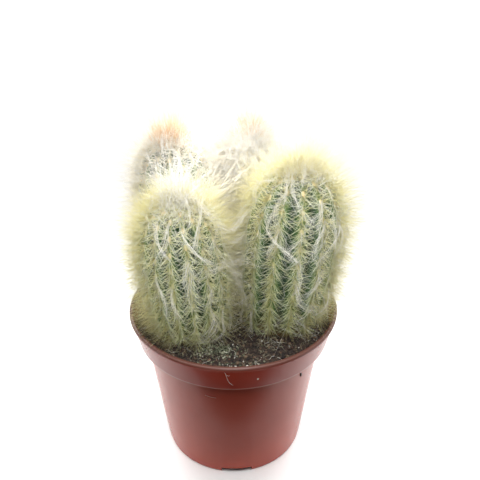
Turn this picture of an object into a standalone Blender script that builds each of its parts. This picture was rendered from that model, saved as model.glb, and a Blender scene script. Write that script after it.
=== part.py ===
"""A clump of four columnar cacti in a nursery pot.

Each stem is a low-ribbed column with a blunt dome. An areole sits every few millimetres along each
rib and carries four spines, and a tuft of young spines and wool crowns the stem. The stems stand in
plain holes in a soil plug, and the soil fills a thin-walled pot with a collar and drain slots.

Metres, +Z up. The origin is the middle of the pot's underside, on the surface that it stands on, and
the clump is seen from -Y. Lengths below are in millimetres until MM scales them.
"""

import math
import random

import bmesh
import bpy
from mathutils import Vector, noise

MM = 0.001
GAP = 0.3  # clearance between pieces that touch
SEED = 11

POT_HEIGHT = 81.4
RIM_RADIUS = 52.5
COLLAR_HEIGHT = 15.1
COLLAR_TOP_RADIUS = 51.6  # outer, just under the lip
COLLAR_FOOT_RADIUS = 48.8
NECK_RADIUS = 45.3  # the body's outer radius, just under the collar
BASE_RADIUS = 37.0
WALL = 1.2
LIP_HEIGHT = 2.2
LIP_WIDTH = 2.1
FLOOR = 1.6
HEEL = 0.9  # the rounding where the wall meets the floor
POT_SIDES = 48
SLOT_COUNT = 4
SLOT_WIDTH = 16.0
SLOT_TURN = 2.5  # degrees that the pot is turned, so that the front slot sits a little right
SLOT_HEIGHT = 3.0
SLOT_DEPTH = 6.5  # how far a drain slot reaches in from the heel

SOIL_LEVEL = 76.6
SOIL_BUMP = 0.7  # the highest grain above that level
SOIL_SIDES = 36
SOIL_RINGS = 5
GRAIN = 5.5  # spacing of the bumps

AREOLE_PITCH = 9.0  # along a rib
AREOLE_HEIGHT = 2.4
AREOLE_LIFT = 0.8  # how far the middle of an areole stands off its rib
CREST_SHARE = 0.27  # flat part of a rib, as a share of the spacing between ribs
RIB_DEPTH = 2.3
SPINE_LENGTH = 7.6
SPINE_JITTER = 0.12
SPINE_ASIDE = 0.6  # sideways reach of the side spines, over their length
SPINE_DROOP = 0.8
SPINE_DOWN = 4.2  # how far below its areole the lower spine ends
SPINE_UP = 2.3
SECTOR_SHARE = 0.45  # of the spacing between ribs, for the spines' sideways reach
SHORTEST_SPINE = 1.8
CROWN_SIDES = 12
CROWN_RISE = 4.2  # height of a crown's dome without its spines
CROWN_ROUNDING = 0.35  # how much shorter a tuft's outer spines are
STUB_DEPTH = 18.0  # how far a stem reaches into the soil
STUB_SHOULDER = 4.0
STUB_TAPER = 0.6
STUB_LEAN = 0.12  # how far the stub leans in towards the pot's axis
HOLE_SIDES = 24

# base and top are the middle of a stem at the soil and at its crown. foot is its radius at the soil
# and widest the height where it is thickest, both as shares. phase turns the first rib, in degrees.
# crown is the radius of the flat spot under the tuft, tuft the length of its spines, and splay how far
# they spread for each step up.
STEMS = {
    "front_right": dict(base=(24, -6), top=(30, -4, 154), radius=21.8, foot=0.80, widest=0.52,
                        ribs=13, phase=-86, crown=6.5, tuft=7.5, splay=0.9),
    "front_left": dict(base=(-20, -15), top=(-24, -17, 145), radius=19.4, foot=0.78, widest=0.50,
                       ribs=16, phase=-100, crown=5.8, tuft=7.0, splay=0.9),
    "back_left": dict(base=(-24, 21), top=(-31, 29, 158), radius=19.3, foot=0.74, widest=0.58,
                      ribs=15, phase=-90, crown=8.7, tuft=11.0, splay=0.3),
    "back_right": dict(base=(3, 31), top=(8, 43, 157.5), radius=14.8, foot=0.80, widest=0.58,
                       ribs=13, phase=-90, crown=5.5, tuft=8.0, splay=0.5),
}


def material(name, colour, roughness):
    """A plain Principled material from an sRGB colour given as 0 to 255."""
    made = bpy.data.materials.new(name)
    made.use_nodes = True
    linear = [(part / 255) ** 2.2 for part in colour] + [1.0]
    shader = made.node_tree.nodes["Principled BSDF"]
    shader.inputs["Base Color"].default_value = linear
    shader.inputs["Roughness"].default_value = roughness
    shader.inputs["Metallic"].default_value = 0.0
    made.diffuse_color = linear
    return made


def add_object(name, mesh_data, finish, parent, place=(0, 0, 0)):
    """Puts a bmesh whose points are in world millimetres into a named object that stands at place."""
    for vertex in mesh_data.verts:
        vertex.co = (vertex.co - Vector(place)) * MM
    bmesh.ops.triangulate(mesh_data, faces=mesh_data.faces)
    bmesh.ops.recalc_face_normals(mesh_data, faces=mesh_data.faces)
    mesh = bpy.data.meshes.new(name)
    mesh_data.to_mesh(mesh)
    mesh_data.free()
    mesh.materials.append(finish)
    made = bpy.data.objects.new(name, mesh)
    bpy.context.scene.collection.objects.link(made)
    made.parent = parent
    made.location = Vector(place) * MM
    return made


def shade_round(target, sharp_degrees):
    target.data.shade_smooth()
    target.data.set_sharp_from_angle(angle=math.radians(sharp_degrees))


def cut(target, cutter):
    """Adds a Boolean that takes the cutter out of the target."""
    cutter.hide_render = True
    cutter.display_type = "WIRE"
    boolean = target.modifiers.new("cut " + cutter.name, "BOOLEAN")
    boolean.operation = "DIFFERENCE"
    boolean.solver = "EXACT"
    boolean.object = cutter


def ring(mesh_data, centre, radius, sides, turn=0.0):
    """A level ring of points round a centre."""
    angles = [turn + math.tau * side / sides for side in range(sides)]
    return [
        mesh_data.verts.new((centre[0] + radius * math.cos(a), centre[1] + radius * math.sin(a), centre[2]))
        for a in angles
    ]


def bridge(mesh_data, lower, upper):
    """Joins two closed rings of as many points with quads."""
    for side in range(len(lower)):
        after = (side + 1) % len(lower)
        mesh_data.faces.new((lower[side], lower[after], upper[after], upper[side]))


def fan(mesh_data, points, middle):
    """Closes a ring with triangles to one point."""
    for side in range(len(points)):
        mesh_data.faces.new((points[side], points[(side + 1) % len(points)], middle))


def body_radius(height):
    """The pot's outer radius below the collar."""
    return BASE_RADIUS + (NECK_RADIUS - BASE_RADIUS) * height / (POT_HEIGHT - COLLAR_HEIGHT)


def collar_radius(height):
    """The pot's outer radius between the collar's foot and the lip."""
    foot = POT_HEIGHT - COLLAR_HEIGHT
    share = (height - foot) / (COLLAR_HEIGHT - LIP_HEIGHT)
    return COLLAR_FOOT_RADIUS + (COLLAR_TOP_RADIUS - COLLAR_FOOT_RADIUS) * share


def pot_profile():
    """The pot's section as (radius, height), from the outer edge of the underside round to the floor."""
    foot = POT_HEIGHT - COLLAR_HEIGHT
    lip = POT_HEIGHT - LIP_HEIGHT
    mouth = RIM_RADIUS - LIP_WIDTH
    return [
        (BASE_RADIUS - HEEL, 0),
        (body_radius(HEEL), HEEL),
        (NECK_RADIUS, foot),
        (COLLAR_FOOT_RADIUS, foot),
        (COLLAR_TOP_RADIUS, lip),
        (RIM_RADIUS - 0.2, lip + 0.4),
        (RIM_RADIUS, POT_HEIGHT - 0.7),
        (RIM_RADIUS - 0.7, POT_HEIGHT),
        (mouth + 0.5, POT_HEIGHT),
        (mouth, POT_HEIGHT - 0.6),
        (COLLAR_FOOT_RADIUS - WALL, foot + WALL),
        (NECK_RADIUS - WALL, foot - WALL / 2),
        (body_radius(FLOOR) - WALL, FLOOR),
    ]


def build_pot(finish, parent):
    """Turns the section round the axis, closes the floor above and below, and cuts the drain slots."""
    mesh_data = bmesh.new()
    rings = [ring(mesh_data, (0, 0, height), radius, POT_SIDES) for radius, height in pot_profile()]
    for lower, upper in zip(rings, rings[1:]):
        bridge(mesh_data, lower, upper)
    fan(mesh_data, rings[0], mesh_data.verts.new((0, 0, 0)))
    fan(mesh_data, rings[-1], mesh_data.verts.new((0, 0, FLOOR)))
    pot = add_object("pot", mesh_data, finish, parent)
    shade_round(pot, 35)
    for count in range(SLOT_COUNT):
        turn = math.radians(360 * count / SLOT_COUNT - 90 + SLOT_TURN)
        slot = bmesh.new()
        bmesh.ops.create_cube(slot, size=1)
        for vertex in slot.verts:
            along = BASE_RADIUS + (2.0 if vertex.co.x > 0 else -SLOT_DEPTH)
            across = SLOT_WIDTH * vertex.co.y
            up = SLOT_HEIGHT if vertex.co.z > 0 else -1.0
            vertex.co = (
                along * math.cos(turn) - across * math.sin(turn),
                along * math.sin(turn) + across * math.cos(turn),
                up,
            )
        cut(pot, add_object(f"slot_cutter_{count}", slot, finish, parent))
    return pot


def soil_profile():
    """The soil's side as (radius, height), a clearance inside the pot's wall and floor."""
    foot = POT_HEIGHT - COLLAR_HEIGHT
    flat = math.cos(math.pi / POT_SIDES)  # the pot's flats lie this share inside its corners
    inside = WALL + GAP
    return [
        (body_radius(FLOOR) * flat - inside, FLOOR + GAP),
        (NECK_RADIUS * flat - inside, foot - WALL / 2 + GAP),
        (COLLAR_FOOT_RADIUS * flat - inside, foot + WALL + GAP),
        (collar_radius(SOIL_LEVEL) * flat - inside - 0.4, SOIL_LEVEL),
    ]


def soil_top(x, y):
    """Height of the soil: its level plus lumps of about a grain's size."""
    lump = noise.noise(Vector((x / GRAIN, y / GRAIN, SEED)))
    return SOIL_LEVEL + SOIL_BUMP * lump


def build_soil(finish, parent):
    """The plug: plain sides that follow the pot, and a lumpy top in rings that shrink to the middle."""
    mesh_data = bmesh.new()
    sides = soil_profile()
    rings = [ring(mesh_data, (0, 0, height), radius, SOIL_SIDES) for radius, height in sides]
    edge = sides[-1][0]
    for step in range(1, SOIL_RINGS):
        rings.append(ring(mesh_data, (0, 0, SOIL_LEVEL), edge * (1 - step / SOIL_RINGS), SOIL_SIDES))
    for points in rings[len(sides) - 1:]:
        for vertex in points:
            vertex.co.z = soil_top(vertex.co.x, vertex.co.y)
    for lower, upper in zip(rings, rings[1:]):
        bridge(mesh_data, lower, upper)
    fan(mesh_data, rings[0], mesh_data.verts.new((0, 0, FLOOR + GAP)))
    fan(mesh_data, rings[-1], mesh_data.verts.new((0, 0, soil_top(0, 0))))
    soil = add_object("soil", mesh_data, finish, parent)
    for name, stem in STEMS.items():
        cut(soil, build_hole(name, stem, finish, parent))
    return soil


def stem_radius(stem, share):
    """Crest radius at a share of the height: a sine swell to the widest place, then a blunt dome."""
    widest, foot = stem["widest"], stem["foot"]
    if share < widest:
        return stem["radius"] * (foot + (1 - foot) * math.sin(math.pi / 2 * share / widest))
    past = (share - widest) / (1 - widest)
    return stem["radius"] * math.sqrt(max(0.0, 1 - past**2.9))


def stem_centre(stem, height):
    """The middle of a stem at a height: it leans in a straight line from its base to its top."""
    share = (height - SOIL_LEVEL) / (stem["top"][2] - SOIL_LEVEL)
    (x0, y0), (x1, y1) = stem["base"], stem["top"][:2]
    return Vector((x0 + (x1 - x0) * share, y0 + (y1 - y0) * share, height))


def stem_meridian(stem):
    """The outline from the soil to the crown as (length along it, height, radius, outward tilt)."""
    rise = stem["top"][2] - SOIL_LEVEL
    steps = 400
    line = []
    length = 0.0
    for step in range(steps + 1):
        share = 1 - (1 - step / steps) ** 2
        height, radius = SOIL_LEVEL + rise * share, stem_radius(stem, share)
        if line:
            length += math.hypot(height - line[-1][1], radius - line[-1][2])
            tilt = math.atan2(line[-1][2] - radius, height - line[-1][1])
        else:
            tilt = 0.0
        line.append((length, height, radius, tilt))
        if share > stem["widest"] and radius < stem["crown"]:
            break
    return line


def along_meridian(line, length):
    """Reads the outline at a length along it."""
    for before, after in zip(line, line[1:]):
        if after[0] >= length:
            part = (length - before[0]) / (after[0] - before[0])
            return [a + (b - a) * part for a, b in zip(before, after)]
    return list(line[-1])


def stub_rings(stem, extra):
    """A stem's plain end in the soil as (centre, radius), with extra added all round for its hole."""
    radius = stem["radius"] * stem["foot"]
    base = Vector((*stem["base"], SOIL_LEVEL))
    shoulder = base - Vector((0, 0, STUB_SHOULDER))
    tip = Vector((base.x * (1 - STUB_LEAN), base.y * (1 - STUB_LEAN), SOIL_LEVEL - STUB_DEPTH - extra))
    return [(shoulder, radius + extra), (tip, radius * STUB_TAPER + extra)]


def build_hole(name, stem, finish, parent):
    """The cutter for a stem's hole: straight down past the soil's top, then the stub's own taper."""
    mesh_data = bmesh.new()
    round_up = 1 / math.cos(math.pi / HOLE_SIDES)
    rings = stub_rings(stem, GAP)
    mouth = rings[0][0] + Vector((0, 0, STUB_SHOULDER + 5))
    levels = [rings[1], rings[0], (mouth, rings[0][1])]
    made = [ring(mesh_data, centre, radius * round_up, HOLE_SIDES) for centre, radius in levels]
    for lower, upper in zip(made, made[1:]):
        bridge(mesh_data, lower, upper)
    mesh_data.faces.new(reversed(made[0]))
    mesh_data.faces.new(made[-1])
    return add_object(f"hole_cutter_{name}", mesh_data, finish, parent)


def side_of(point, stem, other):
    """How far a point lies past the middle of the space between two stems, towards the other."""
    height = min(point.z, stem["top"][2], other["top"][2])
    here, there = stem_centre(stem, height), stem_centre(other, height)
    between = there - here
    distance = between.length
    reach = []
    for one in (stem, other):
        share = (height - SOIL_LEVEL) / (one["top"][2] - SOIL_LEVEL)
        reach.append(stem_radius(one, min(share, one["widest"])))
    middle = reach[0] + (distance - reach[0] - reach[1]) / 2
    offset = Vector((point.x - here.x, point.y - here.y, 0)).dot(between) / distance
    return offset - middle


def crown_reach(stem, height):
    """How far from a stem's middle its crown's tuft may reach at a height: a cone that opens upwards."""
    return stem["crown"] + GAP + stem["splay"] * max(0.0, height - stem["top"][2])


def allowed(point, stem):
    """Whether a point is clear of the soil, the pot, the stem's own crown and the neighbours' side."""
    if point.z < SOIL_LEVEL + SOIL_BUMP + 2 * GAP:
        return False
    if point.z > stem["top"][2] - 2:
        middle = stem_centre(stem, stem["top"][2])
        if math.hypot(point.x - middle.x, point.y - middle.y) < crown_reach(stem, point.z) + 3 * GAP:
            return False
    if point.z < POT_HEIGHT + 2 * GAP:
        if math.hypot(point.x, point.y) > RIM_RADIUS - LIP_WIDTH - 3 * GAP:
            return False
    return all(side_of(point, stem, other) < -GAP for other in STEMS.values() if other is not stem)


def reach_towards(start, tip, stem):
    """The furthest point on the way from start to tip that is allowed."""
    for share in (1.0, 0.85, 0.7, 0.55, 0.4, 0.25, 0.1):
        point = start.lerp(tip, share)
        if allowed(point, stem):
            return point
    return start.copy()


def raise_spine(mesh_data, corners, tip):
    """Draws a triangle out to a point."""
    peak = mesh_data.verts.new(tip)
    for side in range(3):
        mesh_data.faces.new((corners[side], corners[(side + 1) % 3], peak))


def raise_areole(mesh_data, quad, stem, place, draw):
    """Lifts the middle of a quad on a rib and draws its four triangles out to spines.

    place is the outline's radius and outward tilt there. The spines point down, right, up and left,
    each leaning outwards, and stay in their own rib's sector, so no two cross.
    """
    radius, tilt = place
    middle = sum((vertex.co for vertex in quad), Vector()) / 4
    axis = stem_centre(stem, middle.z)
    radial = Vector((middle.x - axis.x, middle.y - axis.y, 0)).normalized()
    outward = radial * math.cos(tilt) + Vector((0, 0, math.sin(tilt)))
    upward = Vector((0, 0, math.cos(tilt))) - radial * math.sin(tilt)
    across = upward.cross(outward)
    lifted = middle + outward * AREOLE_LIFT
    heart = mesh_data.verts.new(lifted if allowed(lifted, stem) else middle)

    sector = math.tau / stem["ribs"] * (radius + SPINE_ASIDE * SPINE_LENGTH * math.cos(tilt))
    room = min(SPINE_ASIDE * SPINE_LENGTH, SECTOR_SHARE * sector)
    leans = [(0, -SPINE_DOWN), (room, -SPINE_DROOP), (0, SPINE_UP), (-room, -SPINE_DROOP)]
    for side, (aside, above) in enumerate(leans):
        length = SPINE_LENGTH * draw.uniform(1 - SPINE_JITTER, 1)
        out = math.sqrt(length**2 - aside**2 - above**2)
        tip = middle + across * aside + upward * above + outward * out
        tip = reach_towards(heart.co, tip, stem)
        corners = (quad[side], quad[(side + 1) % 4], heart)
        if (tip - heart.co).length > SHORTEST_SPINE:
            raise_spine(mesh_data, corners, tip)
        else:
            mesh_data.faces.new(corners)


def stagger(rib):
    """How far a rib's areoles are moved along it, so that neighbouring ribs alternate."""
    return AREOLE_PITCH / 4 * (1 if rib % 2 else -1)


def stem_grid(mesh_data, stem, line, rows):
    """The surface's points, row by row: each rib has the two edges of its crest, then a valley."""
    spacing = math.tau / stem["ribs"]
    half_crest = spacing * CREST_SHARE / 2
    margin = 0.4  # keeps a moved point off the first and the last row
    grid = []
    for length in rows:
        points = []
        for column in range(3 * stem["ribs"]):
            rib, part = divmod(column, 3)
            moved = length
            if part < 2 and length not in (rows[0], rows[-1]):
                moved = min(max(length + stagger(rib), margin), rows[-1] - margin)
            _, height, radius, _ = along_meridian(line, moved)
            if part == 2:
                radius -= RIB_DEPTH * radius / stem["radius"]
            turn = (-half_crest, half_crest, spacing / 2)[part]
            angle = math.radians(stem["phase"]) + rib * spacing + turn
            radial = Vector((math.cos(angle), math.sin(angle), 0))
            points.append(mesh_data.verts.new(stem_centre(stem, height) + radial * radius))
        grid.append(points)
    return grid


def build_stub(mesh_data, stem, soil_ring):
    """Carries the surface on below the soil as a plain taper and closes its end."""
    x, y = stem["base"]
    turns = [math.atan2(vertex.co.y - y, vertex.co.x - x) for vertex in soil_ring]
    above = soil_ring
    for centre, radius in stub_rings(stem, 0.0):
        points = [mesh_data.verts.new(centre + Vector((math.cos(turn), math.sin(turn), 0)) * radius)
                  for turn in turns]
        bridge(mesh_data, points, above)
        above = points
    fan(mesh_data, above, mesh_data.verts.new(centre))


def build_stem(name, stem, finish, parent):
    """A ribbed column from its stub in the soil up to the flat spot under its crown."""
    draw = random.Random(SEED + list(STEMS).index(name))
    line = stem_meridian(stem)
    whole = line[-1][0]
    count = round(whole / AREOLE_PITCH)
    middles = [(index + 0.5) * whole / count for index in range(count)]
    edges = [middle + side * AREOLE_HEIGHT / 2 for middle in middles for side in (-1, 1)]

    mesh_data = bmesh.new()
    grid = stem_grid(mesh_data, stem, line, [0.0] + edges + [whole])
    columns = len(grid[0])
    for row, (lower, upper) in enumerate(zip(grid, grid[1:])):
        for column in range(columns):
            after = (column + 1) % columns
            quad = (lower[column], lower[after], upper[after], upper[column])
            if column % 3 == 0 and row % 2 == 1:
                place = along_meridian(line, middles[row // 2] + stagger(column // 3))[2:]
                raise_areole(mesh_data, quad, stem, place, draw)
            else:
                mesh_data.faces.new(quad)
    build_stub(mesh_data, stem, grid[0])
    fan(mesh_data, grid[-1], mesh_data.verts.new(stem_centre(stem, line[-1][1])))
    return add_object(f"stem_{name}", mesh_data, finish, parent, (*stem["base"], SOIL_LEVEL))


def crown_rings(mesh_data, foot, radius):
    """A dome's rings from its underside up: a quarter ellipse, each ring turned by half a side."""
    shares = [(0.94, 0.0), (1.0, 0.25), (0.74, 0.67), (0.38, 0.92)]
    return [
        ring(mesh_data, foot + Vector((0, 0, CROWN_RISE * up)), radius * out, CROWN_SIDES,
             tier * math.pi / CROWN_SIDES)
        for tier, (out, up) in enumerate(shares)
    ]


def build_crown(name, stem, finish, parent):
    """A small dome on a stem's flat spot, with every face drawn out to a spine."""
    draw = random.Random(SEED * 7 + list(STEMS).index(name))
    foot = stem_centre(stem, stem_meridian(stem)[-1][1] + GAP)
    mesh_data = bmesh.new()
    rings = crown_rings(mesh_data, foot, stem["crown"])
    mesh_data.faces.new(reversed(rings[0]))
    bridge(mesh_data, rings[0], rings[1])
    peak = mesh_data.verts.new(foot + Vector((0, 0, CROWN_RISE)))
    faces = []
    for lower, upper in zip(rings[1:], rings[2:]):
        for side in range(CROWN_SIDES):
            after = (side + 1) % CROWN_SIDES
            faces.append((lower[side], lower[after], upper[side]))
            faces.append((lower[after], upper[after], upper[side]))
    faces += [(rings[-1][side], rings[-1][(side + 1) % CROWN_SIDES], peak) for side in range(CROWN_SIDES)]
    for corners in faces:
        root = sum((vertex.co for vertex in corners), Vector()) / 3 - foot
        aside = Vector((root.x, root.y, 0))
        outer = (aside.length / stem["crown"]) ** 2
        rise = stem["tuft"] * draw.uniform(0.7, 1.0) * (1 - CROWN_ROUNDING * outer)
        aside *= 1 + stem["splay"] * rise / stem["crown"]
        raise_spine(mesh_data, corners, foot + aside + Vector((0, 0, root.z + rise)))
    return add_object(f"crown_{name}", mesh_data, finish, parent, foot)


def build():
    for old in list(bpy.data.objects):
        bpy.data.objects.remove(old)
    clump = bpy.data.objects.new("potted_cactus", None)
    bpy.context.scene.collection.objects.link(clump)
    build_pot(material("red_brown_pot", (134, 70, 56), 0.55), clump)
    build_soil(material("dark_potting_soil", (44, 36, 32), 0.95), clump)
    skin = material("grey_green_skin", (98, 122, 92), 0.6)
    for name, stem in STEMS.items():
        build_stem(name, stem, skin, clump)
        warm = (216, 158, 84) if name.startswith("back") else (226, 206, 128)
        build_crown(name, stem, material(f"{name}_tuft", warm, 0.8), clump)


build()
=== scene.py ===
import math

import bpy
import numpy as np
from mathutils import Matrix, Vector


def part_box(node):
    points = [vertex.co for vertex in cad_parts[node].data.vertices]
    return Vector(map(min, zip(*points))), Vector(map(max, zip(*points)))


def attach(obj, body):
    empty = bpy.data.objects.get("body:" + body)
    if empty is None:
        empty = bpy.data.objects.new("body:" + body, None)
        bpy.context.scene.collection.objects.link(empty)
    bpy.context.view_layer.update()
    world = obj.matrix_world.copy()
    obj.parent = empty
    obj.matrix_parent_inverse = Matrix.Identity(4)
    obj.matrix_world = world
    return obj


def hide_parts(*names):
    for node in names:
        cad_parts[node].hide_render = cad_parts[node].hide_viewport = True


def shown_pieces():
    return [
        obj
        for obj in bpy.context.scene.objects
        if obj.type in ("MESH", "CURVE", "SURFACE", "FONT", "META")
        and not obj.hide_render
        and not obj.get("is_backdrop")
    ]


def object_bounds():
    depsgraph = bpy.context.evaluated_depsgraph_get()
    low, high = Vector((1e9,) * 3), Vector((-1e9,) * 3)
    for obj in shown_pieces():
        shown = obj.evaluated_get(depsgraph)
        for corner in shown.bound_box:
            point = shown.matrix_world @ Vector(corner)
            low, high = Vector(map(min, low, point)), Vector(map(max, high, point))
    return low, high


# Old man cactus in a nursery pot. Sizes are millimetres until buildMesh scales them.
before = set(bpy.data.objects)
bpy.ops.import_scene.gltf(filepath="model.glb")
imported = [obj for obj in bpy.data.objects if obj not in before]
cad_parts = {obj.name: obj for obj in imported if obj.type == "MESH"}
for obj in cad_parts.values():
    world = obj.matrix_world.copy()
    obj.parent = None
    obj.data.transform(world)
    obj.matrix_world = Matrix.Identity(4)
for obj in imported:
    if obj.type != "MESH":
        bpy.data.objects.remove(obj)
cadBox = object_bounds()
mm = 0.001

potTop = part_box("pot")[1].z / mm  # height of the lip
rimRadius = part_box("pot")[1].x / mm
soilLevel = 76.6
hairRoom = 11.0  # how far hairs may reach past the solids' box
rest = dict(insideRim=3.2, overLip=0.4, overSoil=0.7)  # how far from rim, lip and soil low hairs are held

# base and top are the middle of a stem at the soil and at its crown, foot its radius at the soil and
# widest the height where it is thickest, both as shares. phase is the bearing of rib 0 in degrees, first how
# far its first areole lies from the crown, along the rib, and pitch the step to the next one. radials and
# bristles are counts for each areole, outer the bristles tried on the left and right sides, hairs, locks and
# flights the wool of the whole stem. fluffy and felted are how far down from the crown flying wool and short
# felt grow.
stems = {
    "front_right": dict(base=(24, -6), top=(30, -4, 154), radius=21.8, foot=0.80, widest=0.52,
                        ribs=13, phase=-86, first=7.5, pitch=8.15, radials=36, bristles=24, outer=95,
                        hairs=300, locks=30, flights=200, fluffy=99, felted=5),
    "front_left": dict(base=(-20, -15), top=(-24, -17, 145), radius=19.4, foot=0.78, widest=0.50,
                       ribs=16, phase=-100, first=6.5, pitch=7.2, radials=29, bristles=18, outer=74,
                       hairs=200, locks=26, flights=150, fluffy=99, felted=15),
    "back_left": dict(base=(-24, 21), top=(-31, 29, 158), radius=19.3, foot=0.74, widest=0.58,
                      ribs=15, phase=-90, first=7.5, pitch=7.8, radials=42, bristles=34, outer=40,
                      hairs=900, locks=34, flights=600, fluffy=99, felted=10),
    "back_right": dict(base=(3, 31), top=(8, 43, 157.5), radius=14.8, foot=0.80, widest=0.58,
                       ribs=13, phase=-90, first=6.5, pitch=7.4, radials=95, bristles=60, outer=30,
                       hairs=1900, locks=40, flights=2800, fluffy=48, felted=90),
}


# Colours and nodes

def fromHex(code):
    # sRGB hex to linear red, green, blue and full alpha
    parts = [int(code[i:i + 2], 16) / 255 for i in (1, 3, 5)]
    linear = [p / 12.92 if p <= 0.04045 else ((p + 0.055) / 1.055) ** 2.4 for p in parts]
    return (*linear, 1.0)


def addNode(tree, kind, settings=None, links=None):
    # one node: settings name a socket or a property, links give a socket the output of another node
    node = tree.nodes.new("ShaderNode" + kind)
    for key, value in (settings or {}).items():
        if isinstance(key, int) or key in node.inputs:
            node.inputs[key].default_value = value
        else:
            setattr(node, key, value)
    for key, (other, output) in (links or {}).items():
        tree.links.new(other.outputs[output], node.inputs[key])
    return node


looks = {}  # materials by name


def newMaterial(name, **sockets):
    # a material with one Principled shader, whose plain sockets are set here; underscores stand for spaces
    material = looks[name] = bpy.data.materials.new(name)
    material.use_nodes = True
    shader = material.node_tree.nodes["Principled BSDF"]
    for key, value in sockets.items():
        shader.inputs[key.replace("_", " ")].default_value = value
    return material.node_tree, shader


def addGrain(tree, shader, noise, strength, distance):
    # noise on Object coordinates, which also bumps the surface
    place = addNode(tree, "TexCoord")
    grain = addNode(tree, "TexNoise", noise, {"Vector": (place, "Object")})
    bump = addNode(tree, "Bump", {"Strength": strength, "Distance": distance}, {"Height": (grain, "Fac")})
    tree.links.new(bump.outputs[0], shader.inputs["Normal"])
    return place, grain


def setRamp(node, stops):
    # colour stops as (place, hex)
    ramp = node.color_ramp
    while len(ramp.elements) < len(stops):
        ramp.elements.new(1.0)
    for element, (place, code) in zip(ramp.elements, stops):
        element.position = place
        element.color = fromHex(code)
    return node


# Meshes

def buildMesh(name, points, faceSets, look, values=None, smooth=True, stands=()):
    # points in mm (count, 3); faceSets are whole arrays of triangles or quads; values are floats per point
    loops = np.concatenate([faces.ravel() for faces in faceSets]).astype(np.int32)
    sizes = np.concatenate([np.full(len(faces), faces.shape[1]) for faces in faceSets])
    starts = np.concatenate([[0], np.cumsum(sizes)[:-1]]).astype(np.int32)
    mesh = bpy.data.meshes.new(name)
    mesh.vertices.add(len(points))
    mesh.vertices.foreach_set("co", (points * mm).astype(np.float32).ravel())
    mesh.loops.add(len(loops))
    mesh.loops.foreach_set("vertex_index", loops)
    mesh.polygons.add(len(sizes))
    mesh.polygons.foreach_set("loop_start", starts)
    mesh.update(calc_edges=True)
    for key, numbers in (values or {}).items():
        layer = mesh.attributes.new(key, "FLOAT", "POINT")
        layer.data.foreach_set("value", np.asarray(numbers, np.float32).ravel())
    if smooth:
        mesh.shade_smooth()
    mesh.materials.append(looks[look])
    made = bpy.data.objects.new(name, mesh)
    bpy.context.scene.collection.objects.link(made)
    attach(made, "root")
    if stands:
        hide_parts(*stands)
    return made


def wrapFaces(rows, columns, start=0):
    # quads of a grid whose columns close round on themselves
    row, column = np.meshgrid(np.arange(rows - 1), np.arange(columns), indexing="ij")
    after = (column + 1) % columns
    quads = np.stack([row * columns + column, row * columns + after,
                      (row + 1) * columns + after, (row + 1) * columns + column], -1)
    return quads.reshape(-1, 4) + start


def capFaces(first, columns, pole, upward):
    # triangles from a ring of points to a pole
    column = np.arange(columns)
    after = (column + 1) % columns
    ends = (first + column, first + after) if upward else (first + after, first + column)
    return np.stack([*ends, np.full(columns, pole)], -1)


def closeGrid(grid, poles):
    # points and faces of rows of closed rings, with a pole under the first ring and one over the last
    rows, columns = grid.shape[:2]
    total = rows * columns
    caps = [capFaces(0, columns, total, False), capFaces(total - columns, columns, total + 1, True)]
    return np.concatenate([grid.reshape(-1, 3), poles]), [wrapFaces(rows, columns), *caps]


def repeatFaces(parts, count, size):
    # the faces of a small piece of size points, again for each of its copies
    first = (np.arange(count) * size)[:, None, None]
    return [(faces[None] + first).reshape(-1, faces.shape[-1]) for faces in parts]


def evenTurns(count):
    # angles of even steps round a circle
    return np.arange(count) * math.tau / count


def unit(vectors, least=0):
    # vectors over their lengths
    return vectors / (np.linalg.norm(vectors, axis=-1, keepdims=True) + least)


def hashed(cells, seed):
    # one number from 0 to 1 for each lattice cell, from the fraction of a large sine
    mixed = cells @ np.array([127.1, 311.7, 74.7]) + seed * 53.3
    return np.modf(np.abs(np.sin(mixed) * 43758.5453))[0]


def lumps(points, size, seed):
    # smooth noise from -1 to 1: random heights at the corners of a cube lattice, eased between corners
    scaled = points / size
    cell = np.floor(scaled)
    part = scaled - cell
    part = part * part * (3 - 2 * part)
    total = 0
    for corner in np.ndindex(2, 2, 2):
        corner = np.array(corner)
        weight = np.prod(np.where(corner, part, 1 - part), axis=-1)
        total = total + weight * hashed(cell + corner, seed)
    return total * 2 - 1


def strandMesh(name, paths, radii, look, tones, ages=None, stands=()):
    # a three-sided tube round each path (count, steps, 3), closed at its root and drawn to a point
    count, steps, _ = paths.shape
    forward = unit(np.gradient(paths, axis=1), 1e-9)
    helper = np.eye(3)[np.argmin(np.abs(paths[:, -1] - paths[:, 0]), axis=-1)][:, None]
    side = unit(np.cross(forward, helper), 1e-9)
    other = np.cross(forward, side)
    turn = np.radians([0, 120, 240])[:, None]
    rings = side[:, :-1, None] * np.cos(turn) + other[:, :-1, None] * np.sin(turn)
    rings = paths[:, :-1, None] + rings * radii[:, :-1, None, None]
    points = np.concatenate([rings.reshape(count, -1, 3), paths[:, -1:]], axis=1)
    size = points.shape[1]
    faces = [wrapFaces(steps - 1, 3), capFaces(size - 4, 3, size - 1, True), np.array([[0, 2, 1]])]
    along = np.append(np.repeat(np.linspace(0, 1, steps)[:-1], 3), 1.0)
    ages = np.zeros(count) if ages is None else ages
    values = {"along": np.tile(along, count), "tone": np.repeat(tones, size), "age": np.repeat(ages, size)}
    buildMesh(name, points.reshape(-1, 3), repeatFaces(faces, count, size), look, values, True, stands)


# The stems' shape

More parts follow.
